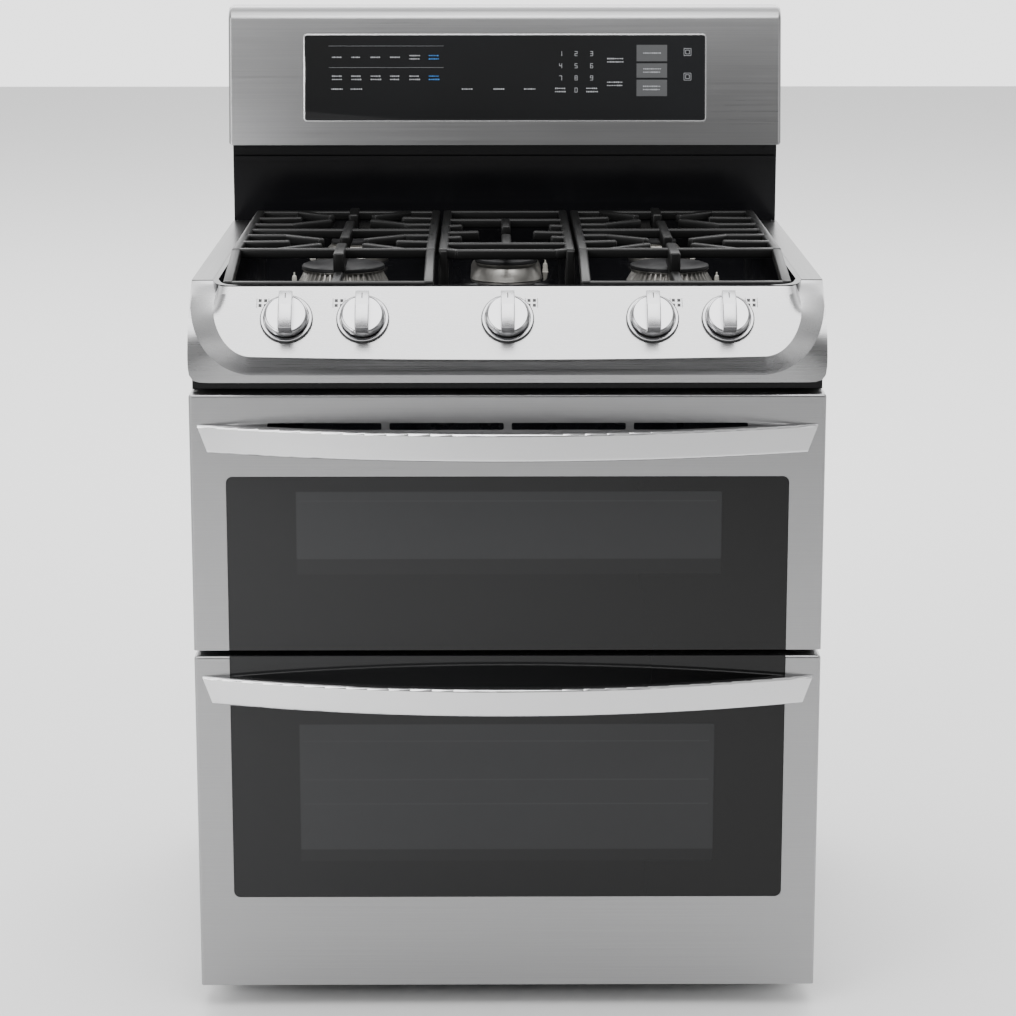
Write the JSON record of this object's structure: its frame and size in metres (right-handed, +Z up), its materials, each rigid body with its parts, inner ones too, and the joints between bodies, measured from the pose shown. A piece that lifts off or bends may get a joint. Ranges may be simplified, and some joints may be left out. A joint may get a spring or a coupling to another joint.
{
  "type": "freestanding gas range",
  "caption": "Freestanding gas range with two bottom-hinged oven doors, bowed bar handles, a cast-iron grate cooktop, front knobs and a leaning backguard with a glass touch panel.",
  "frame": {"origin": "on the floor, under the middle of the whole object, handles included", "axes": "+Z up, +X to the right of someone facing the range, +Y towards the wall behind it; the doors and knobs face -Y"},
  "size_m": [0.759, 0.735, 1.1981],
  "materials": {
    "brushed_steel": "horizontal brushed stainless steel",
    "satin_steel": "fine satin stainless steel on handles and knobs",
    "black_enamel": "glossy black porcelain enamel",
    "grey_enamel": "speckled grey-blue oven enamel",
    "grey_paint": "semi-gloss grey paint on the side panels and trims",
    "galvanised": "plain galvanised sheet",
    "cast_iron": "matt black porcelain-coated cast iron",
    "cast_aluminium": "fine cast aluminium",
    "black_glass": "dark tinted glass with a black ceramic border",
    "clear_glass": "clear heat-resistant glass",
    "chrome_wire": "bright plated wire",
    "black_plastic": "matt black moulded plastic",
    "wool": "mineral wool blanket",
    "gasket_cord": "braided glass-fibre gasket",
    "brass": "machined brass",
    "white_ceramic": "unglazed white ceramic",
    "board_green": "printed circuit board"
  },
  "bodies": {
    "root": {"backguard_cover": "brushed_steel", "backguard_riser": "black_enamel", "base_frame": "galvanised", "burner_caps": "black_enamel", "burner_heads": "cast_aluminium", "control_board": "board_green", "control_glass": "black_glass", "control_panel": "brushed_steel", "convection_housing": "grey_enamel", "cooktop_pan": "black_enamel", "cooktop_side_trims": "brushed_steel", "cord_strain_relief": "black_plastic", "front_frame": "black_enamel", "gas_supply": "cast_aluminium", "gas_valves": "brass", "hinge_receivers": "galvanised", "igniters": "white_ceramic", "knob_bezels": "satin_steel", "lower_oven_cavity": "grey_enamel", "oven_burners": "galvanised", "oven_gaskets": "gasket_cord", "oven_insulation": "wool", "oven_lamps_and_probes": "clear_glass", "rear_panels": "galvanised", "side_panels": "grey_paint", "upper_oven_cavity": "grey_enamel", "vent_trim": "black_enamel"},
    "upper_door": {"upper_door_skin": "brushed_steel", "upper_door_outer_glass": "black_glass", "upper_door_liner": "grey_enamel", "upper_door_inner_glass": "clear_glass", "upper_door_hinge_arms": "galvanised", "upper_door_handle": "satin_steel"},
    "lower_door": {"lower_door_skin": "brushed_steel", "lower_door_outer_glass": "black_glass", "lower_door_liner": "grey_enamel", "lower_door_inner_glass": "clear_glass", "lower_door_hinge_arms": "galvanised", "lower_door_handle": "satin_steel"},
    "stem_1": {"valve_stem_1": "brass"},
    "dial_1": {"knob_1": "satin_steel"},
    "stem_2": {"valve_stem_2": "brass"},
    "dial_2": {"knob_2": "satin_steel"},
    "stem_3": {"valve_stem_3": "brass"},
    "dial_3": {"knob_3": "satin_steel"},
    "stem_4": {"valve_stem_4": "brass"},
    "dial_4": {"knob_4": "satin_steel"},
    "stem_5": {"valve_stem_5": "brass"},
    "dial_5": {"knob_5": "satin_steel"},
    "left_grate": {"grate_left": "cast_iron"},
    "centre_grate": {"grate_centre": "cast_iron"},
    "right_grate": {"grate_right": "cast_iron"},
    "upper_oven_rack_body": {"upper_oven_rack": "chrome_wire"},
    "lower_oven_rack_1_body": {"lower_oven_rack_1": "chrome_wire"},
    "lower_oven_rack_2_body": {"lower_oven_rack_2": "chrome_wire"},
    "fan": {"convection_fan": "galvanised"},
    "foot_1": {"leveling_foot_1": "black_plastic"},
    "foot_2": {"leveling_foot_2": "black_plastic"},
    "foot_3": {"leveling_foot_3": "black_plastic"},
    "foot_4": {"leveling_foot_4": "black_plastic"}
  },
  "joints": [
    {"name": "upper_door_hinge", "type": "hinge", "parent": "root", "child": "upper_door", "pos_m": [0, -0.2855, 0.489], "axis": [1, 0, 0], "range_deg": [0, 90], "stiffness_Nm_per_rad": 4, "springref_deg": -57.3},
    {"name": "lower_door_hinge", "type": "hinge", "parent": "root", "child": "lower_door", "pos_m": [0, -0.2855, 0.1], "axis": [1, 0, 0], "range_deg": [0, 90], "stiffness_Nm_per_rad": 4, "springref_deg": -57.3},
    {"name": "knob_1_turn", "type": "hinge", "parent": "root", "child": "stem_1", "pos_m": [-0.261, -0.30908, 0.865], "axis": [0, -0.8074, 0.59], "range_deg": [0, 270]},
    {"name": "knob_1_push", "type": "slide", "parent": "stem_1", "child": "dial_1", "axis": [0, 0.8074, -0.59], "range_m": [0, 0.003], "stiffness_N_per_m": 1500, "springref_m": -0.002},
    {"name": "knob_2_turn", "type": "hinge", "parent": "root", "child": "stem_2", "pos_m": [-0.171, -0.30908, 0.865], "axis": [0, -0.8074, 0.59], "range_deg": [0, 270]},
    {"name": "knob_2_push", "type": "slide", "parent": "stem_2", "child": "dial_2", "axis": [0, 0.8074, -0.59], "range_m": [0, 0.003], "stiffness_N_per_m": 1500, "springref_m": -0.002},
    {"name": "knob_3_turn", "type": "hinge", "parent": "root", "child": "stem_3", "pos_m": [0, -0.30908, 0.865], "axis": [0, -0.8074, 0.59], "range_deg": [0, 270]},
    {"name": "knob_3_push", "type": "slide", "parent": "stem_3", "child": "dial_3", "axis": [0, 0.8074, -0.59], "range_m": [0, 0.003], "stiffness_N_per_m": 1500, "springref_m": -0.002},
    {"name": "knob_4_turn", "type": "hinge", "parent": "root", "child": "stem_4", "pos_m": [0.171, -0.30908, 0.865], "axis": [0, -0.8074, 0.59], "range_deg": [0, 270]},
    {"name": "knob_4_push", "type": "slide", "parent": "stem_4", "child": "dial_4", "axis": [0, 0.8074, -0.59], "range_m": [0, 0.003], "stiffness_N_per_m": 1500, "springref_m": -0.002},
    {"name": "knob_5_turn", "type": "hinge", "parent": "root", "child": "stem_5", "pos_m": [0.26, -0.30908, 0.865], "axis": [0, -0.8074, 0.59], "range_deg": [0, 270]},
    {"name": "knob_5_push", "type": "slide", "parent": "stem_5", "child": "dial_5", "axis": [0, 0.8074, -0.59], "range_m": [0, 0.003], "stiffness_N_per_m": 1500, "springref_m": -0.002},
    {"name": "left_grate_lift", "type": "slide", "parent": "root", "child": "left_grate", "axis": [0, 0, 1], "range_m": [0, 0.08]},
    {"name": "centre_grate_lift", "type": "slide", "parent": "root", "child": "centre_grate", "axis": [0, 0, 1], "range_m": [0, 0.08]},
    {"name": "right_grate_lift", "type": "slide", "parent": "root", "child": "right_grate", "axis": [0, 0, 1], "range_m": [0, 0.08]},
    {"name": "upper_oven_rack_slide", "type": "slide", "parent": "root", "child": "upper_oven_rack_body", "axis": [0, -1, 0], "range_m": [0, 0.012]},
    {"name": "lower_oven_rack_1_slide", "type": "slide", "parent": "root", "child": "lower_oven_rack_1_body", "axis": [0, -1, 0], "range_m": [0, 0.012]},
    {"name": "lower_oven_rack_2_slide", "type": "slide", "parent": "root", "child": "lower_oven_rack_2_body", "axis": [0, -1, 0], "range_m": [0, 0.012]},
    {"name": "convection_fan_spin", "type": "hinge", "parent": "root", "child": "fan", "pos_m": [0, 0.245, 0.296], "axis": [0, 1, 0], "continuous": true},
    {"name": "leveling_foot_1_turn", "type": "hinge", "parent": "root", "child": "foot_1", "pos_m": [-0.33, -0.1405, 0.02], "axis": [0, 0, 1], "continuous": true},
    {"name": "leveling_foot_2_turn", "type": "hinge", "parent": "root", "child": "foot_2", "pos_m": [0.33, -0.1405, 0.02], "axis": [0, 0, 1], "continuous": true},
    {"name": "leveling_foot_3_turn", "type": "hinge", "parent": "root", "child": "foot_3", "pos_m": [-0.33, 0.3145, 0.02], "axis": [0, 0, 1], "continuous": true},
    {"name": "leveling_foot_4_turn", "type": "hinge", "parent": "root", "child": "foot_4", "pos_m": [0.33, 0.3145, 0.02], "axis": [0, 0, 1], "continuous": true}
  ]
}
